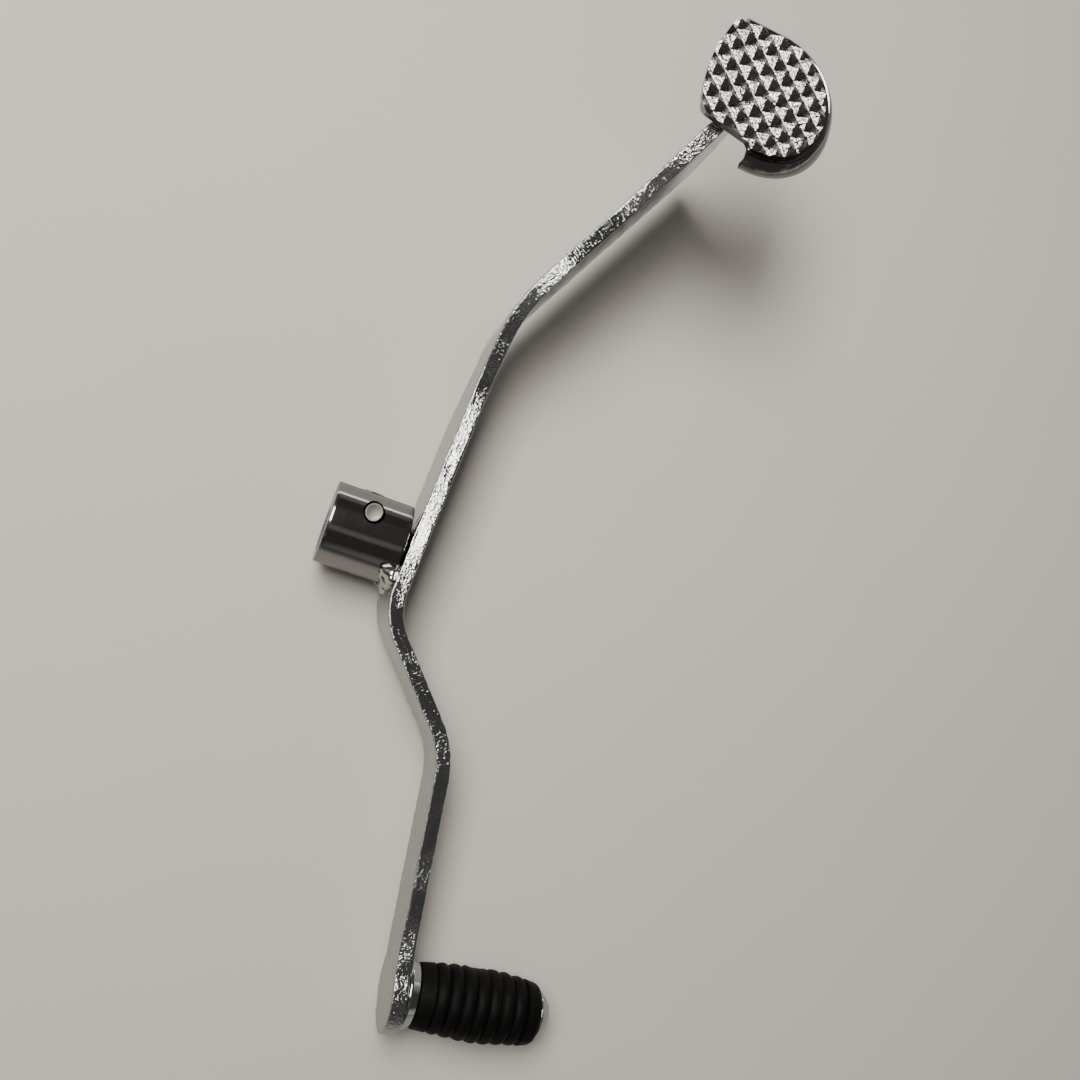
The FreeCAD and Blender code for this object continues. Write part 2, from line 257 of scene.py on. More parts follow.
# %% Ground and chromed edge
def ground_chrome(name):
    """Chrome over cross-ground steel: scratches 0.5 mm wide across the edge, and speckle of 0.8 mm."""
    material, tree = new_finish(name)
    along = node(tree, "ShaderNodeUVMap", {"uv_map": "run"}).outputs[0]
    place = node(tree, "ShaderNodeTexCoord").outputs["Object"]
    ground = node(tree, "ShaderNodeAttribute", {"attribute_name": "mark"}).outputs["Fac"]
    stretched = node(tree, "ShaderNodeMapping", None, Vector=along,
                     Scale=(per_metre(0.5), per_metre(4.5), 1.0)).outputs[0]
    lines = node(tree, "ShaderNodeTexNoise", None, Vector=stretched, Scale=1.0, Detail=2.0,
                 Roughness=0.6).outputs["Fac"]
    speckle = node(tree, "ShaderNodeTexNoise", None, Vector=place, Scale=per_metre(0.8),
                   Detail=2.0).outputs["Fac"]
    region = node(tree, "ShaderNodeTexNoise", None, Vector=place, Scale=per_metre(14),
                  Detail=1.0).outputs["Fac"]
    share = node(tree, "ShaderNodeMapRange", {"interpolation_type": "SMOOTHSTEP"}, Value=region,
                 From_Min=0.4, From_Max=0.6, To_Min=0.15, To_Max=1.0).outputs[0]
    hits = node(tree, "ShaderNodeMath", {"operation": "MULTIPLY"}, _0=speckle, _1=share).outputs[0]
    mixed = node(tree, "ShaderNodeMath", {"operation": "MULTIPLY_ADD"}, _0=hits, _1=1.6, _2=lines).outputs[0]
    cut = node(tree, "ShaderNodeMath", {"operation": "MULTIPLY"}, _0=mixed, _1=ground).outputs[0]
    calm = node(tree, "ShaderNodeTexNoise", None, Vector=place, Scale=per_metre(7), Detail=2.0).outputs["Fac"]
    first = node(tree, "ShaderNodeBump", None, Height=calm, Distance=0.015 * MM, Strength=1.0)
    second = node(tree, "ShaderNodeBump", None, Height=cut, Distance=0.18 * MM, Strength=1.0,
                  Normal=first.outputs[0])
    film = node(tree, "ShaderNodeTexNoise", None, Vector=place, Scale=per_metre(14), Detail=4.0,
                Roughness=0.65).outputs["Fac"]
    polished = span(tree, film, 0.03, 0.12)
    rough = node(tree, "ShaderNodeMath", {"operation": "MULTIPLY_ADD"}, _0=ground, _1=0.02, _2=polished)
    shader = node(tree, "ShaderNodeBsdfPrincipled", None, Base_Color=linear("#abadad"), Metallic=1.0,
                  Specular_Tint=linear("#dadada"), Roughness=rough.outputs[0], Normal=second.outputs[0])
    node(tree, "ShaderNodeOutputMaterial", None, Surface=shader.outputs[0])
    return material


# %% [markdown]
# The sleeve is moulded natural rubber filled with carbon black: nearly black, with a soft
# grey sheen where it turns away, dust in its grooves and a fine mould grain.

# %% Moulded rubber
def moulded_rubber(name):
    """Carbon-black rubber, roughness 0.5 to 0.7, grain of 0.35 mm."""
    material, tree = new_finish(name)
    place = node(tree, "ShaderNodeTexCoord").outputs["Object"]
    grain = node(tree, "ShaderNodeTexNoise", None, Vector=place, Scale=per_metre(0.35),
                 Detail=3.0).outputs["Fac"]
    patch = node(tree, "ShaderNodeTexNoise", None, Vector=place, Scale=per_metre(5),
                 Detail=4.0).outputs["Fac"]
    tint = node(tree, "ShaderNodeMix", {"data_type": "RGBA"}, Factor=patch)
    tint.inputs["A"].default_value = linear("#060606")
    tint.inputs["B"].default_value = linear("#0b0b0b")
    bump = node(tree, "ShaderNodeBump", None, Height=grain, Distance=0.03 * MM, Strength=0.6)
    shader = node(tree, "ShaderNodeBsdfPrincipled", None, Base_Color=tint.outputs["Result"],
                  Roughness=span(tree, patch, 0.5, 0.7), Normal=bump.outputs[0])
    shader.inputs["IOR"].default_value = 1.45
    shader.inputs["Specular IOR Level"].default_value = 0.12
    node(tree, "ShaderNodeOutputMaterial", None, Surface=shader.outputs[0])
    return material


# %% [markdown]
# The bolt is zinc plated steel: yellower than chrome and softer in its shine. The attribute called
# mark is 1 on its thread, which is painted dark as shade where it sits in the boss's hole.
# The spring washer is oiled black steel.

# %% Plated fastener steel
def plated_steel(name, colour, roughness):
    """Fastener steel with a mottled film 1.5 mm across."""
    material, tree = new_finish(name)
    place = node(tree, "ShaderNodeTexCoord").outputs["Object"]
    mottle = node(tree, "ShaderNodeTexNoise", None, Vector=place, Scale=per_metre(1.5),
                  Detail=4.0).outputs["Fac"]
    bump = node(tree, "ShaderNodeBump", None, Height=mottle, Distance=0.03 * MM, Strength=0.6)
    # Where mark is 1 the colour turns to #1c1a18: painted shade on the thread in its hole.
    thread_shade = node(tree, "ShaderNodeAttribute", {"attribute_name": "mark"}).outputs["Fac"]
    tint = node(tree, "ShaderNodeMix", {"data_type": "RGBA"}, Factor=thread_shade)
    tint.inputs["A"].default_value = linear(colour)
    tint.inputs["B"].default_value = linear("#1c1a18")
    shader = node(tree, "ShaderNodeBsdfPrincipled", None, Base_Color=tint.outputs["Result"], Metallic=1.0,
                  Roughness=span(tree, mottle, roughness - 0.08, roughness + 0.1), Normal=bump.outputs[0])
    node(tree, "ShaderNodeOutputMaterial", None, Surface=shader.outputs[0])
    return material


BAR_CHROME = ground_chrome("ground and chromed bar steel")
# The boss's chrome is darker than the rest: partly a duller plating, partly painted shade for the shaded
# floor that it mirrors.
BOSS_CHROME = bright_chrome("turned and chromed boss steel", "#868584", dull=0.04, wave_mm=2.0, pits=0.35)
PEG_CHROME = bright_chrome("chromed peg steel")
PAD_CHROME = bright_chrome("chromed pad casting", "#929290", wave_mm=0.8, wave_height=0.36, pits=0.5,
                           smooth_below=58.0)
WELD_CHROME = bright_chrome("chromed weld metal", "#b4b4b2", dull=0.04, wave_mm=2.6, wave_height=0.06)
RUBBER = moulded_rubber("moulded black rubber")
ZINC = plated_steel("zinc plated bolt steel", "#a8a7a2", 0.4)
SPRING_STEEL = plated_steel("oiled spring steel", "#4c4a47", 0.4)


def finish_piece(piece, body, slot, material, *nodes):
    """Gives a piece its material and the body that it rides on, and hides the frame's nodes that it stands
    for.
    """
    piece.data.materials.clear()
    piece.data.materials.append(material)
    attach(piece, body)
    if nodes:
        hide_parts(*nodes)
    print(piece.name, len(piece.data.polygons), "faces")
    return piece


# %% [markdown]
# ## The bar
# A blank was cut from 4.5 mm strip, bent in plan, and its long edges were ground.
# The skin is a rounded rectangle carried along the bent line. Its height at each station comes
# from the top and bottom outlines, and the toe end closes as a round eye about the peg.

# %% Bar outlines
BAR_T = 4.5
PLAN = [(-163, 64.5, 0), (-78, 18.1, 45), (20.2, 11.1, 22), (52.8, 39.5, 26), (140, 49.7, 0)]
TOP = [(-163, 56, 0), (-148, 56, 8), (-116, 35, 18), (-93, 33, 14), (-58, 16, 20),
       (20, 13, 40), (52, 10.3, 40), (122, 5.6, 0)]
BOTTOM = [(-163, 43, 0), (-145, 40, 12), (-116, 18, 18), (-94, 14, 14), (-66, -3, 16),
          (-50, -14.5, 16), (14, -14.5, 12), (27, -5.5, 12), (56, -8.5, 40), (122, -12.9, 0)]
PEG_X, PEG_Z, EYE_R = 121.6, -3.5, 11.49
PEG_LEAN = math.radians(3.5)


def height_at(outline, x):
    """Height of a rounded outline at x; past its last point it keeps the last height."""
    line = rounded_line(outline)
    return np.interp(x, line[:, 0], line[:, 1])


def bar_edges(x):
    """Top and bottom of the bar at x: the outlines, widened to the eye's circle at the toe.

    Known fault: away from the eye, reach is 0 and the lower edge never rises above PEG_Z, so the heel
    section is far too deep. The minimum should be taken only where reach is above 0."""
    reach = np.sqrt(np.clip(EYE_R ** 2 - (x - PEG_X) ** 2, 0, None))
    straight = x < PEG_X
    top = np.where(straight, np.maximum(height_at(TOP, x), PEG_Z + reach), PEG_Z + reach)
    low = np.where(straight, np.minimum(height_at(BOTTOM, x), PEG_Z - reach), PEG_Z - reach)
    return top, low


def bar_stations():
    """Plan points along the engine-side face 0.3 mm apart, closer towards the tip, with their normals."""
    line = finer(rounded_line(PLAN, 0.4), 0.3)
    line = line[line[:, 0] < PEG_X]
    aim = np.array(PLAN[-1][:2]) - np.array(PLAN[-2][:2])
    angle = np.linspace(np.pi / 2, 0, 60)
    x = PEG_X + EYE_R * np.cos(angle)
    tail = np.stack([x, PLAN[-1][1] + (x - PLAN[-1][0]) * aim[1] / aim[0]], axis=-1)
    line = np.concatenate([line, tail])
    along = np.gradient(line, axis=0)
    along /= np.linalg.norm(along, axis=1, keepdims=True)
    return line, np.stack([-along[:, 1], along[:, 0]], axis=-1)


def box_loop(radius, arc_steps, flat_steps):
    """Loop round a box. Columns: share of width, share of height, two offsets in mm, share of ground edge.

    Each corner is an arc of the radius about a point inset by the radius; between arcs the points
    are spaced evenly along the side."""
    turn = np.linspace(0, np.pi / 2, arc_steps)
    arcs = []
    for w, h, start in ((0, 0, np.pi), (1, 0, 1.5 * np.pi), (1, 1, 0), (0, 1, 0.5 * np.pi)):
        cos, sin = np.cos(start + turn), np.sin(start + turn)
        columns = [w + 0 * turn, h + 0 * turn, (1 - 2 * w + cos) * radius, (1 - 2 * h + sin) * radius,
                   sin ** 2]
        arcs.append(np.stack(columns, axis=-1))
    loop = []
    for k, arc in enumerate(arcs):
        following = arcs[(k + 1) % 4][0]
        share = np.linspace(0, 1, flat_steps[k] + 2)[1:-1, None]
        loop += [arc, arc[-1] + (following - arc[-1]) * share]
    return np.concatenate(loop)


# %% [markdown]
# The edges were ground by hand on a belt. So they are not quite flat or square: each stretch leans
# a few degrees to one side or the other, nine at most, and the belt's bounce leaves steps of a few hundredths
# of a millimetre. Both are put into the mesh, because chrome makes them plain to see.

# %% The bar
EDGE_LEAN = math.tan(math.radians(9))
LEAN_STRETCHES = [(-165, 0.0), (-130, -0.4), (-100, 0.3), (-70, -0.3), (-52, 0.1), (-40, 0.9), (-2, 1.0),
                  (8, 0.2), (30, -0.3), (60, -0.2), (98, 0.0), (104, 0.9), (109, 0.9), (113, 0.0), (134, 0.0)]


def ground_bar():
    """Carries the rounded box along the bar; heights come from the outlines, lean and bounce from waves."""
    line, normal = bar_stations()
    top, low = bar_edges(line[:, 0])
    loop = box_loop(0.35, 5, (6, 10, 6, 10))
    w, h, dw, dh, ground = loop.T
    tall = (top - low)[:, None]
    squeeze = np.clip(tall / 2.4, 0, 1)
    across = w * BAR_T + dw
    plan = line[:, None, :] + normal[:, None, :] * across[None, :, None]
    z = low[:, None] + h * tall + dh * squeeze
    travelled = np.concatenate([[0], np.cumsum(np.linalg.norm(np.diff(line, axis=0), axis=1))])
    lean = EDGE_LEAN * np.interp(line[:, 0], *np.transpose(LEAN_STRETCHES))
    upper = (h > 0.5) * ground
    z = z + upper * squeeze * lean[:, None] * (across - BAR_T / 2)
    grid = np.concatenate([plan, z[..., None]], axis=-1)
    belt = grid * (1.0, 0.35, 0.35)
    bounce = 0.006 * waves(belt, 1.6, 11) + 0.003 * waves(belt, 0.8, 12) + 0.03 * waves(belt, 9, 13)
    grid[..., 2] += bounce * ground * squeeze * np.sign(h - 0.5)
    nick = 0.06 * waves(grid, 2.5, 14) * (np.abs(dw) < 0.4) * (np.abs(dh) < 0.4) * squeeze
    grid[..., :2] += normal[:, None, :] * nick[..., None]
    round_section = np.concatenate([[0], np.cumsum(np.full(len(loop), 0.9))])
    run = np.stack(np.broadcast_arrays(travelled[:, None], round_section[None, :]), axis=-1) * MM
    mark = np.broadcast_to(ground, z.shape)
    return add_skin("ground_bar", grid, crease=50, mark=mark, run=run)


bar = finish_piece(ground_bar(), "lever", "chromed_bar", BAR_CHROME, "arm_bar")


# %% [markdown]
# ## The clamp boss
# It is turned from round bar, off its own centre, so that the bolt has metal round it.
# One skin goes down the outside, over the rims and back up the bore, where the radius also
# changes with the angle to make the serrations. The slit and the bolt's holes are then cut out.

# %% Boss numbers
BOSS_R, BOSS_L, BOSS_X = 12.5, 23.5, -2.4
CREST_R, ROOT_R, TEETH, GAP_SHARE = 6.25, 6.65, 36, 0.46
MOUTH, RIM, SLIT_W = 0.75, 0.4, 2.0
BOLT_LEAN, BOLT_OFFSET = math.radians(13.5), 9.9
BOLT_TIP, BOLT_L, SEAT_R, SEAT_Z = 9.2, 20.0, 6.3, -9.18
LEAN_COS, LEAN_SIN = math.cos(BOLT_LEAN), math.sin(BOLT_LEAN)
BOLT_TURN = np.array([[LEAN_COS, 0, LEAN_SIN], [0, 1, 0], [-LEAN_SIN, 0, LEAN_COS]])
BOLT_FOOT = BOLT_TURN @ (-BOLT_OFFSET, 0, 0)


def boss_grid():
    """Rings about the Y axis: radius and centre per ring; in the bore the radius follows the teeth."""
    turns = TEETH * 20
    angle = np.linspace(0, 2 * np.pi, turns, endpoint=False)
    half = BOSS_L / 2
    from_root = np.abs((angle * TEETH / (2 * np.pi) + 0.5) % 1 - 0.5) / (GAP_SHARE / 2)
    teeth = CREST_R + (ROOT_R - CREST_R) * np.clip(1 - from_root, 0, 1)
    rings = []
    for end in (-1, 1):
        outside = [(BOSS_X, BOSS_R, end * (half - RIM)), (BOSS_X, BOSS_R - 0.12, end * (half - 0.12)),
                   (BOSS_X, BOSS_R - RIM, end * half)]
        bore = [(0, CREST_R + MOUTH - d, end * (half - d)) for d in (0, 0.25, 0.45, 0.6, MOUTH)]
        rings.append((outside, bore))
    order = rings[0][0] + rings[0][1] + rings[1][1][::-1] + rings[1][0][::-1] + rings[0][0][:1]
    order = np.array([row for a, b in zip(order, order[1:])
                      for row in np.linspace(a, b, 1 + int(abs(b[2] - a[2]) / 0.6), endpoint=False).tolist()]
                     + [order[-1]])
    centre, radius, y = order.T
    is_bore = (np.abs(centre) < 1e-9)[:, None]
    radius = np.where(is_bore, np.maximum(radius[:, None], teeth[None, :]), radius[:, None])
    x = centre[:, None] + radius * np.cos(angle)
    return np.stack([x, np.broadcast_to(y[:, None], x.shape), radius * np.sin(angle)], axis=-1)


def carve(piece, tools, operation="DIFFERENCE", crease=30):
    """Cuts the tools out of the piece, or keeps what they share with it, and deletes them."""
    for tool in tools:
        cut = piece.modifiers.new(tool.name, "BOOLEAN")
        cut.operation = operation
        cut.solver = "EXACT"
        cut.object = tool
    carved = bpy.data.meshes.new_from_object(piece.evaluated_get(bpy.context.evaluated_depsgraph_get()))
    piece.modifiers.clear()
    piece.data = carved
    for tool in tools:
        bpy.data.objects.remove(tool)
    piece.data.shade_smooth()
    piece.data.set_sharp_from_angle(angle=math.radians(crease))


def block_grid(low, high):
    """A box as two rings of four corners."""
    x, y = np.array([low[0], high[0], high[0], low[0]]), np.array([low[1], low[1], high[1], high[1]])
    return np.stack([np.stack([x, y, np.full(4, z)], axis=-1) for z in (low[2], high[2])])


# %% The boss
boss = add_skin("splined_boss", boss_grid(), crease=30)
slit = add_skin("slit", turned(block_grid((-30, -15, -SLIT_W / 2), (0, 15, SLIT_W / 2)), BOLT_TURN))
tapped = add_skin("tapped", turned(spun([(3.2, -1), (3.2, 20)], 96), BOLT_TURN, BOLT_FOOT))
seat_profile = [(SEAT_R, -30), (SEAT_R, SEAT_Z), (3.3, SEAT_Z), (3.3, 0)]
seat = add_skin("seat", turned(spun(seat_profile, 96), BOLT_TURN, BOLT_FOOT))
carve(boss, [slit, tapped, seat])
finish_piece(boss, "lever", "chromed_boss", BOSS_CHROME, "clamp_boss")


# %% [markdown]
# ## Weld beads
# A bead is a row of frozen puddles. The tube that carries it swells and shrinks every couple of
# millimetres, wanders a little, and closes at both ends.

# %% Beads
def bead_grid(path, radius, seed, ripple_mm=2.1, last_puddle=0.0):
    """A tube along a path: radius times puddle ripples, lumps from waves, tapered to a point at each end."""
    path = finer(path, 0.25)
    along = np.gradient(path, axis=0)
    along /= np.linalg.norm(along, axis=1, keepdims=True)
    side = np.cross(along, (0.0, 1.0, 0.02))
    side /= np.linalg.norm(side, axis=1, keepdims=True)
    other = np.cross(along, side)
    angle = np.linspace(0, 2 * np.pi, 48, endpoint=False)
    s = np.concatenate([[0], np.cumsum(np.linalg.norm(np.diff(path, axis=0), axis=1))])
    taper = np.sqrt(np.clip(1 - np.clip(1 - s / radius, 0, 1) ** 2, 0, 1))
    taper *= np.sqrt(np.clip(1 - np.clip(1 - (s[-1] - s) / radius, 0, 1) ** 2, 0, 1))
    puddle = 1 + 0.07 * np.abs(np.sin(np.pi * s / ripple_mm))
    puddle += last_puddle * np.clip((s - s[-1] + 3.5 * radius) / (2.5 * radius), 0, 1)
    size = (radius * taper * puddle)[:, None]
    spoke = side[:, None, :] * np.cos(angle)[None, :, None] + other[:, None, :] * np.sin(angle)[None, :, None]
    lumps = 1 + 0.10 * waves(path[:, None, :] + spoke * radius, 3.0, seed)
    return path[:, None, :] + spoke * (size * lumps)[..., None]


BOSS_BEAD_R, BEAD_FROM, BEAD_TO = 2.5, -130, 54
bead_angle = np.radians(np.linspace(BEAD_FROM, BEAD_TO, 60))
bead_path = np.stack([BOSS_X + (BOSS_R + 0.2) * np.cos(bead_angle), np.full(60, BOSS_L / 2 - 0.6),
                      (BOSS_R + 0.2) * np.sin(bead_angle)], axis=-1)
boss_bead = add_skin("boss_bead", bead_grid(bead_path, BOSS_BEAD_R, 21, last_puddle=0.72))
finish_piece(boss_bead, "lever", "chromed_weld", WELD_CHROME, "boss_weld")

heel_from, heel_to = (np.array(p[:2]) for p in PLAN[:2])
heel_along = (heel_to - heel_from) / np.linalg.norm(heel_to - heel_from)
heel_across = np.array([-heel_along[1], heel_along[0]])
PLATE_Z, PAD_BEAD_L = 56.0, 14.0
pad_beads = []
for side, seed in ((-0.6, 31), (BAR_T + 0.6, 32)):
    start = heel_from + heel_along * 1.5 + heel_across * side
    ends = np.array([start, start + heel_along * (PAD_BEAD_L - 1)])
    pad_beads.append(bead_grid(np.column_stack([ends, [PLATE_Z - 0.5] * 2]), 2.2, seed))
finish_piece(add_skin("pad_beads", *pad_beads), "lever", "chromed_weld", WELD_CHROME, "heel_pad_weld")


# %% [markdown]
# ## The heel pad
# The pad is cast: a field of pyramids on a raised block, and a skirt that rolls down round the
# outer side only. The field is a square lattice turned by 45 degrees, so that its lines fall on
# the valleys, and each little square is split along the ridge that crosses it. A prism with the
# pad's outline cuts the block out of it. The skirt is a profile carried round the outer side.

# %% Pad numbers
PYRAMID_PITCH, PYRAMID_H, PEAK_Z, PYRAMID_STEPS, PYRAMID_ROWS = 5.0, 1.7, 60.0, 12, 11
PYRAMID_CENTRE = np.array([-155.4, 65.3])
FLARE, SKIRT_TOP_Z, SKIRT_LOW_Z, SKIRT_WALL = 3.25, 57.4, 53.2, 2.0
PAD_INNER = [(-172.5, 50, 0.8), (-156.5, 43.8, 45), (-140, 47, 3), (-136.7, 63.4, 0.2)]
PAD_OUTER = [(-134.5, 65, 0.2), (-134.5, 86.5, 19.5), (-175, 86.5, 19.5), (-174.8, 54.6, 1)]
BLOCK_OUTER = [(-134.9, 65, 0.2), (-134.9, 85.3, 18.8), (-173.7, 85.3, 18.8), (-173.6, 54.8, 1)]
UNDERCUT = 0.95


def pyramids():
    """The lattice: height by distance to the nearest valley in each direction, the smaller of both."""
    side = PYRAMID_STEPS * PYRAMID_ROWS
    step = np.arange(side + 1)
    i, j = np.meshgrid(step, step, indexing="ij")
    rise = [2 * np.abs((k / PYRAMID_STEPS + 0.5) % 1 - 0.5) for k in (i, j)]
    height = PYRAMID_H * np.clip(np.minimum(*rise), 0.02, 0.95)
    u = (i - side // 2 - PYRAMID_STEPS // 2) * PYRAMID_PITCH / PYRAMID_STEPS
    v = (j - side // 2 - PYRAMID_STEPS // 2) * PYRAMID_PITCH / PYRAMID_STEPS
    half_turn = math.sqrt(0.5)
    points = np.stack([PYRAMID_CENTRE[0] + (u - v) * half_turn, PYRAMID_CENTRE[1] + (u + v) * half_turn,
                       PEAK_Z - PYRAMID_H + height], axis=-1)
    points[..., 2] += 0.05 * waves(points, 1.5, 41) + 0.07 * waves(points, 4, 42) - 0.08
    number = i * (side + 1) + j
    a, b, c, d = number[:-1, :-1], number[1:, :-1], number[1:, 1:], number[:-1, 1:]
    middle = (step[:-1] % PYRAMID_STEPS - (PYRAMID_STEPS - 1) / 2)
    rising = (middle[:, None] * middle[None, :] > 0)[..., None]
    first = np.where(rising, np.stack([a, b, c], axis=-1), np.stack([a, b, d], axis=-1))
    second = np.where(rising, np.stack([a, c, d], axis=-1), np.stack([b, c, d], axis=-1))
    return points.reshape(-1, 3), np.concatenate([first.reshape(-1, 3), second.reshape(-1, 3)])


def pyramid_slab(name):
    """The lattice as a closed slab: its border is carried down to a flat underside."""
    points, faces = pyramids()
    work = bmesh.new()
    corners = [work.verts.new(p) for p in (points * MM).tolist()]
    for face in faces.tolist():
        work.faces.new([corners[k] for k in face])
    border = [edge for edge in work.edges if edge.is_boundary]
    walls = bmesh.ops.extrude_edge_only(work, edges=border)["geom"]
    for corner in walls:
        if isinstance(corner, bmesh.types.BMVert):
            corner.co.z = (PLATE_Z - 1) * MM
    bmesh.ops.holes_fill(work, edges=[edge for edge in work.edges if edge.is_boundary])
    bmesh.ops.recalc_face_normals(work, faces=work.faces)
    mesh = bpy.data.meshes.new(name)
    work.to_mesh(mesh)
    work.free()
    slab = bpy.data.objects.new(name, mesh)
    bpy.context.scene.collection.objects.link(slab)
    return slab


def pad_prism():
    """Rings of the pad's outline from under the plate to above the pyramids."""
    first = (np.array(BLOCK_OUTER[-1]) + np.array(PAD_INNER[0])) / 2
    rim = rounded_line([first] + PAD_INNER + BLOCK_OUTER + [first], 0.3)[:-1]
    foot = PYRAMID_CENTRE + (rim - PYRAMID_CENTRE) * UNDERCUT
    return np.stack([np.column_stack([ring, np.full(len(rim), z)])
                     for ring, z in ((foot, PLATE_Z), (rim, PEAK_Z + 1))])


def skirt_grid():
    """The rolled skirt: its section carried round the outer side, from the toe corner to the heel corner."""
    rim = rounded_line([(-134.5, 64.6, 0)] + PAD_OUTER[1:3] + [(-174.8, 54.8, 0)], 0.3)
    ahead = np.gradient(rim, axis=0)
    ahead /= np.linalg.norm(ahead, axis=1, keepdims=True)
    outward = np.stack([ahead[:, 1], -ahead[:, 0]], axis=-1)
    roll = np.linspace(0, np.pi / 2, 14)
    drop = SKIRT_TOP_Z - SKIRT_LOW_Z - 0.4
    section = [(-3.5, SKIRT_TOP_Z - 0.3), (0.0, SKIRT_TOP_Z - 0.3), (0.25, SKIRT_TOP_Z - 0.2)]
    section += [(0.5 + (FLARE - 0.5) * math.sin(a) ** 1.5, SKIRT_LOW_Z + 0.4 + drop * math.cos(a) ** 1.5)
                for a in roll]
    section += [(FLARE - 0.15, SKIRT_LOW_Z + 0.1), (FLARE - 0.4, SKIRT_LOW_Z),
                (FLARE - SKIRT_WALL + 0.2, SKIRT_LOW_Z), (FLARE - SKIRT_WALL, SKIRT_LOW_Z + 0.2),
                (FLARE - SKIRT_WALL, PLATE_Z - 0.4), (FLARE - SKIRT_WALL - 0.6, PLATE_Z + 0.1),
                (-3.5, PLATE_Z + 0.1)]
    out, z = np.array(section).T
    plan = rim[:, None, :] + outward[:, None, :] * out[None, :, None]
    grid = np.concatenate([plan, np.broadcast_to(z[None, :, None], plan.shape[:2] + (1,))], axis=-1)
    grid[..., 2] += 0.03 * waves(grid, 9, 43) * (z < SKIRT_TOP_Z - 0.5) * (z > SKIRT_LOW_Z + 0.5)
    return grid


def join(piece, other):
    """Adds the other object's mesh to the piece and deletes the other object."""
    work = bmesh.new()
    work.from_mesh(piece.data)
    work.from_mesh(other.data)
    work.to_mesh(piece.data)
    work.free()
    bpy.data.objects.remove(other)


# %% The pad
pad = pyramid_slab("knurled_pad")
carve(pad, [add_skin("outline", pad_prism())], "INTERSECT", crease=12)
join(pad, add_skin("skirt", skirt_grid(), crease=40))
finish_piece(pad, "lever", "chromed_pad", PAD_CHROME, "heel_pad")


# %% [markdown]
# ## The toe peg and its rubber
# Both are turned shapes on one axis, which leans a little towards the rear. The peg has a
# shoulder against the bar and a domed head outside the rubber.

# %% Peg axis
PEG_R, FLANGE_R, FLANGE_FACE_R, FLANGE_T = 5.0, 10.4, 9.0, 3.8
RUBBER_L, HEAD_R, HEAD_H = 38.0, 7.0, 4.28
peg_along = np.array([-math.sin(PEG_LEAN), math.cos(PEG_LEAN), 0.0])
toe_aim = np.array(PLAN[-1][:2]) - np.array(PLAN[-2][:2])
toe_aim /= np.linalg.norm(toe_aim)
toe_normal = np.array([-toe_aim[1], toe_aim[0], 0.0])
peg_inner = np.array([PEG_X, PLAN[-1][1] + (PEG_X - PLAN[-1][0]) * toe_aim[1] / toe_aim[0], PEG_Z])
PEG_FOOT = peg_inner + peg_along * (BAR_T / (peg_along @ toe_normal))
PEG_TURN = np.stack([np.cross(peg_along, (0, 0, 1)), (0, 0, 1), peg_along], axis=-1)


def arc_points(centre, radius, start, end, count):
    """Points on an arc in the radius and height plane, angles in degrees."""
    angle = np.radians(np.linspace(start, end, count))
    return [(centre[0] + radius * math.cos(a), centre[1] + radius * math.sin(a)) for a in angle]


# %% Peg
def peg_profile():
    """Shoulder with a rolled rim, shaft inside the rubber, and a domed head, as radius and height."""
    tip = FLANGE_T + RUBBER_L
    points = [(0, -0.4), (FLANGE_R - 0.6, -0.4)]
    points += arc_points((FLANGE_R - 0.8, 0.9), 0.8, -60, 40, 8)
    points += arc_points((FLANGE_FACE_R - 0.6, FLANGE_T - 0.7), 0.7, 25, 90, 8)
    points += [(PEG_R, FLANGE_T), (PEG_R, tip - 0.5), (HEAD_R - 0.3, tip - 0.4)]
    points += arc_points((HEAD_R - 0.4, tip + 0.1), 0.4, -90, 20, 6)
    dome_r = (HEAD_R ** 2 + HEAD_H ** 2) / (2 * HEAD_H)
    edge = math.degrees(math.acos((HEAD_R - 0.1) / dome_r))
    points += arc_points((0, tip + HEAD_H - dome_r), dome_r, edge, 90, 24)
    return points


peg_grid = turned(spun(peg_profile(), 160), PEG_TURN, PEG_FOOT)
finish_piece(add_skin("shouldered_peg", peg_grid, crease=40), "lever", "chromed_peg", PEG_CHROME, "toe_peg")


# %% [markdown]
# The rubber is a barrel with a plain collar at each end and seven half-round ribs. On one side
# the ribs stop short and leave a smooth patch. The mould was worn, so the ribs are not all alike.

# %% Rubber
END_R, MID_R, TIP_R, COLLAR_L, RIB_COUNT, RIB_DEPTH = 8.9, 10.4, 8.3, 5.0, 7, 1.25
PATCH_AT, PATCH_L, PATCH_ANGLE, PATCH_WIDE = 17.5, 2.9, math.radians(205), math.radians(50)


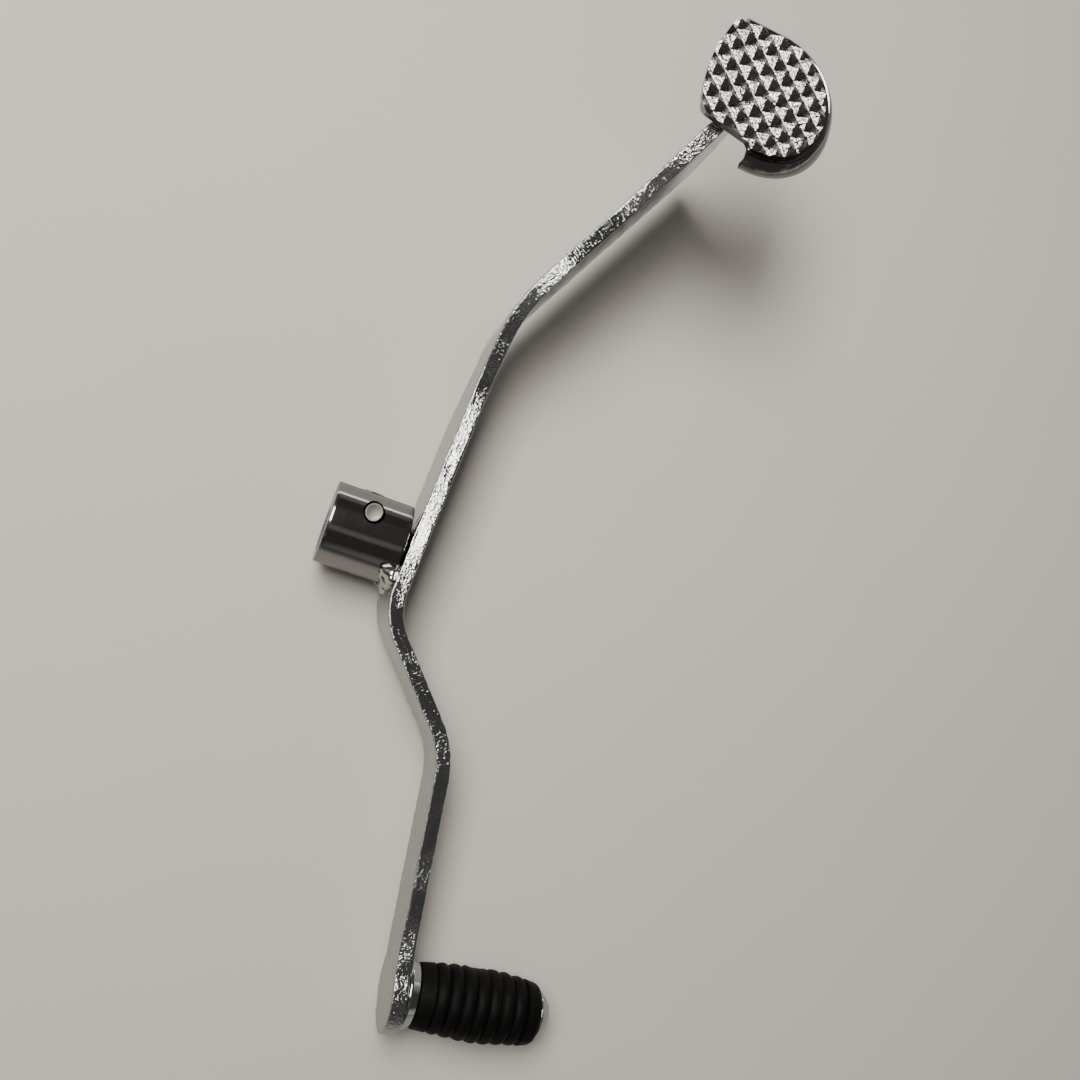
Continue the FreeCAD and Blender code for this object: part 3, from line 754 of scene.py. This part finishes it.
def rubber_grid():
    """Radius of a barrel parabola, less the dip between ribs, less the smooth patch; swept round the peg."""
    s = np.linspace(0, RUBBER_L, 330)
    angle = np.linspace(0, 2 * np.pi, 220, endpoint=False)
    middle = RUBBER_L / 2
    end_r = np.where(s < middle, END_R, TIP_R)
    barrel = MID_R - (MID_R - end_r) * ((s - middle) / middle) ** 2
    pitch = (RUBBER_L - 2 * COLLAR_L) / RIB_COUNT
    place = (s - COLLAR_L) / pitch
    within = (place > 0) & (place < RIB_COUNT)
    across_rib = np.clip(2 * (place % 1) - 1, -1, 1)
    dip = np.where(within, RIB_DEPTH * (1 - np.sqrt(1 - across_rib ** 2)), 0)
    for edge in (COLLAR_L, RUBBER_L - COLLAR_L):
        dip = np.maximum(dip, RIB_DEPTH * np.clip(1 - np.abs(s - edge) / 0.35, 0, 1))
    for end, size in ((0, 0.9), (RUBBER_L, 1.8)):
        near = np.clip(1 - np.abs(s - end) / size, 0, 1)
        dip = np.maximum(dip, size * (1 - np.sqrt(1 - near ** 2)))
    patch_s = np.exp(-(((s - PATCH_AT) / PATCH_L) ** 4))
    patch_a = np.exp(-(((np.angle(np.exp(1j * (angle - PATCH_ANGLE)))) / PATCH_WIDE) ** 4))
    patch = patch_s[:, None] * patch_a[None, :]
    radius = barrel[:, None] - dip[:, None] * (1 - patch) - 0.55 * patch
    spoke = np.stack([np.cos(angle), np.sin(angle)], axis=-1)
    flat = np.concatenate([spoke[None] * radius[..., None], np.broadcast_to(s[:, None, None],
                                                                           radius.shape + (1,))], axis=-1)
    worn = 0.05 * waves(flat, 4, 51) + 0.07 * waves(flat, 13, 52)
    flat[..., :2] += spoke[None] * (worn * np.clip(s * (RUBBER_L - s) / 20, 0, 1)[:, None])[..., None]
    caps = [np.stack([spoke[:, 0] * PEG_R, spoke[:, 1] * PEG_R, np.full(len(angle), z)], axis=-1)[None]
            for z in (0, RUBBER_L)]
    return np.concatenate([caps[0], flat, caps[1], caps[0]])


sleeve = turned(rubber_grid() + (0, 0, FLANGE_T), PEG_TURN, PEG_FOOT)
finish_piece(add_skin("ribbed_rubber", sleeve, crease=60), "lever", "toe_rubber", RUBBER, "toe_rubber")


# %% [markdown]
# ## The pinch bolt
# An M6 screw with a real thread: the radius falls in a V as a point moves round and along by one
# pitch. The tip is dished and chamfered, and the head is a hexagon trimmed by a cone.

# %% Bolt
THREAD_PITCH, THREAD_DEPTH, SHANK_R, HEAD_FLATS, BOLT_HEAD_H = 1.0, 0.55, 2.95, 10.0, 4.0
TIP_RELIEF, TIP_RELIEF_L, BOLT_SEAT = 0.3, 2.4, BOLT_TIP - BOLT_L


def bolt_grid():
    """Rings up the bolt's axis: a trimmed hexagon for the head, then a V thread, then a dished tip."""
    angle = np.linspace(0, 2 * np.pi, 72, endpoint=False)
    low = BOLT_SEAT - BOLT_HEAD_H
    flat = HEAD_FLATS / 2 / np.cos((angle + np.pi / 6) % (np.pi / 3) - np.pi / 6)
    rings = [(0 * angle, low + 0.5), (0 * angle + 3.2, low + 0.45), (0 * angle + 3.7, low)]
    rings += [(np.minimum(flat, 4.75 + 1.7 * d), low + d) for d in (0, 0.15, 0.3, 0.45, 0.6, 1.0)]
    rings += [(flat, BOLT_SEAT - 0.1), (flat - 0.1, BOLT_SEAT)]
    for z in np.arange(BOLT_SEAT, BOLT_TIP + 1e-6, 0.1):
        turn = (z / THREAD_PITCH - angle / (2 * np.pi)) % 1
        depth = THREAD_DEPTH * np.clip(1.15 * np.abs(2 * turn - 1) - 0.12, 0, 1)
        tip = TIP_RELIEF if z > BOLT_TIP - TIP_RELIEF_L else 0.0
        rings.append((np.minimum(SHANK_R - depth, SHANK_R - tip), z))
    rings += [(0 * angle + r, BOLT_TIP - dip) for r, dip in ((2.3, 0.0), (2.1, 0.02), (1.6, 0.1), (0.9, 0.16),
                                                             (0, 0.18))]
    return np.stack([np.stack([r * np.cos(angle), r * np.sin(angle), 0 * angle + z], axis=-1)
                     for r, z in rings])


bolt_rings = bolt_grid()
from_axis = np.hypot(bolt_rings[..., 0], bolt_rings[..., 1])
height = bolt_rings[..., 2]
# The thread and the relief below the tip get the dark colour through mark: painted shade for the hole they
# sit in.
shaded_thread = (from_axis > 2.35) & (height > BOLT_SEAT + 0.05) & (height < BOLT_TIP - 0.05)
bolt_skin = turned(bolt_rings, BOLT_TURN, BOLT_FOOT)
bolt_piece = add_skin("pinch_screw", bolt_skin, crease=35, mark=shaded_thread.astype(float))
finish_piece(bolt_piece, "bolt", "bolt_steel", ZINC, "pinch_bolt")

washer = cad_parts["lock_washer"]
for slot in washer.material_slots:
    slot.material = SPRING_STEEL


# %% [markdown]
# ## Floor, light and camera
# A pale board lies under the lever, and one large soft lamp hangs above it on the heel's side.
# It hangs to the engine's side of the camera, so that a flat edge mirrors the dark ceiling beside it
# and only the leaning and scratched parts mirror the lamp. A thin far lamp draws a line on the boss.

# %% Floor
floor_material, tree = new_finish("matt painted board")
place = node(tree, "ShaderNodeTexCoord").outputs["Object"]
shade = node(tree, "ShaderNodeTexNoise", None, Vector=place, Scale=per_metre(140), Detail=3.0).outputs["Fac"]
tint = node(tree, "ShaderNodeMix", {"data_type": "RGBA"}, Factor=shade)
tint.inputs["A"].default_value = linear("#c9c6c0")
tint.inputs["B"].default_value = linear("#c3c0ba")
skin = node(tree, "ShaderNodeBsdfPrincipled", None, Base_Color=tint.outputs["Result"], Roughness=0.75)
node(tree, "ShaderNodeOutputMaterial", None, Surface=skin.outputs[0])

lowest = cad_box[0][2]
board = bpy.data.meshes.new("board")
half_board = 1.6
corners = [(-half_board, -half_board, lowest), (half_board, -half_board, lowest),
           (half_board, half_board, lowest), (-half_board, half_board, lowest)]
board.from_pydata(corners, [], [(0, 1, 2, 3)])
board.materials.append(floor_material)
floor = bpy.data.objects.new("board", board)
bpy.context.scene.collection.objects.link(floor)


# %% Lamps
def add_lamp(name, place, power, size, turn, colour="#ffffff"):
    """A soft lamp of x by y size at a place in metres, turned from facing down by x, y, z degrees."""
    data = bpy.data.lights.new(name, "AREA")
    data.shape = "RECTANGLE"
    data.energy = power
    data.size, data.size_y = size
    data.color = linear(colour)[:3]
    lamp = bpy.data.objects.new(name, data)
    lamp.location = place
    lamp.rotation_euler = [math.radians(angle) for angle in turn]
    bpy.context.scene.collection.objects.link(lamp)


add_lamp("main lamp", (-0.25, -0.30, 0.8), 13.1, (0.62, 0.40), (24, 0, 0), "#fffaf2")
add_lamp("far wall lamp", (-1.4, 0.15, 0.08), 3.0, (0.10, 1.8), (0, -90, 0))


# %% [markdown]
# The room is a shell of colours by height: brighter walls low down, on the heel side most of all,
# and a dark ceiling with a few paler patches. Chrome needs these differences to look like chrome.

# %% Room
def dim_room():
    """A world whose brightness depends on the direction: walls near the horizon, patches above."""
    world = bpy.data.worlds.new("dim room")
    world.use_nodes = True
    tree = world.node_tree
    tree.nodes.clear()
    way = node(tree, "ShaderNodeTexCoord").outputs["Generated"]
    x, y, z = node(tree, "ShaderNodeSeparateXYZ", None, Vector=way).outputs
    wall = node(tree, "ShaderNodeMapRange", {"interpolation_type": "SMOOTHSTEP"}, Value=z, From_Min=0.0,
                From_Max=0.14, To_Min=1.0, To_Max=0.0).outputs[0]
    heel_side = node(tree, "ShaderNodeMapRange", None, Value=x, From_Min=1.0, From_Max=-1.0, To_Min=0.25,
                     To_Max=1.5).outputs[0]
    walls = node(tree, "ShaderNodeMath", {"operation": "MULTIPLY"}, _0=wall, _1=heel_side).outputs[0]
    cloud = node(tree, "ShaderNodeTexNoise", None, Vector=way, Scale=2.6, Detail=2.0).outputs["Fac"]
    patches = node(tree, "ShaderNodeMapRange", {"interpolation_type": "SMOOTHSTEP"}, Value=cloud,
                   From_Min=0.5, From_Max=0.66, To_Min=0.09, To_Max=0.36).outputs[0]
    light = node(tree, "ShaderNodeMath", {"operation": "ADD"}, _0=walls, _1=patches).outputs[0]
    shell = node(tree, "ShaderNodeBackground", None, Color=linear("#f3efe9"), Strength=light)
    node(tree, "ShaderNodeOutputWorld", None, Surface=shell.outputs[0])
    return world


bpy.context.scene.world = dim_room()

# %% Camera
# The lens looks down at about 71 degrees, from the engine side and slightly from the toe.
PAN, TIP, ROLL = math.radians(19.5), math.radians(14.0), math.radians(12.3)
outward = Vector((math.cos(PAN) * math.cos(TIP), -math.sin(PAN) * math.cos(TIP), -math.sin(TIP)))
level = Vector((-math.sin(PAN), -math.cos(PAN), 0))
above = level.cross(outward)
up_axis = math.cos(ROLL) * above - math.sin(ROLL) * level
toe_axis = math.cos(ROLL) * level + math.sin(ROLL) * above
camera_data = bpy.data.cameras.new("camera")
camera_data.sensor_width = 36
camera_data.lens = 34.67
camera = bpy.data.objects.new("camera", camera_data)
turn = Matrix((toe_axis, outward, up_axis)).to_4x4()
camera.matrix_world = Matrix.Translation(Vector((0.0492, -0.0265, 0.3111))) @ turn
bpy.context.scene.collection.objects.link(camera)
bpy.context.scene.camera = camera
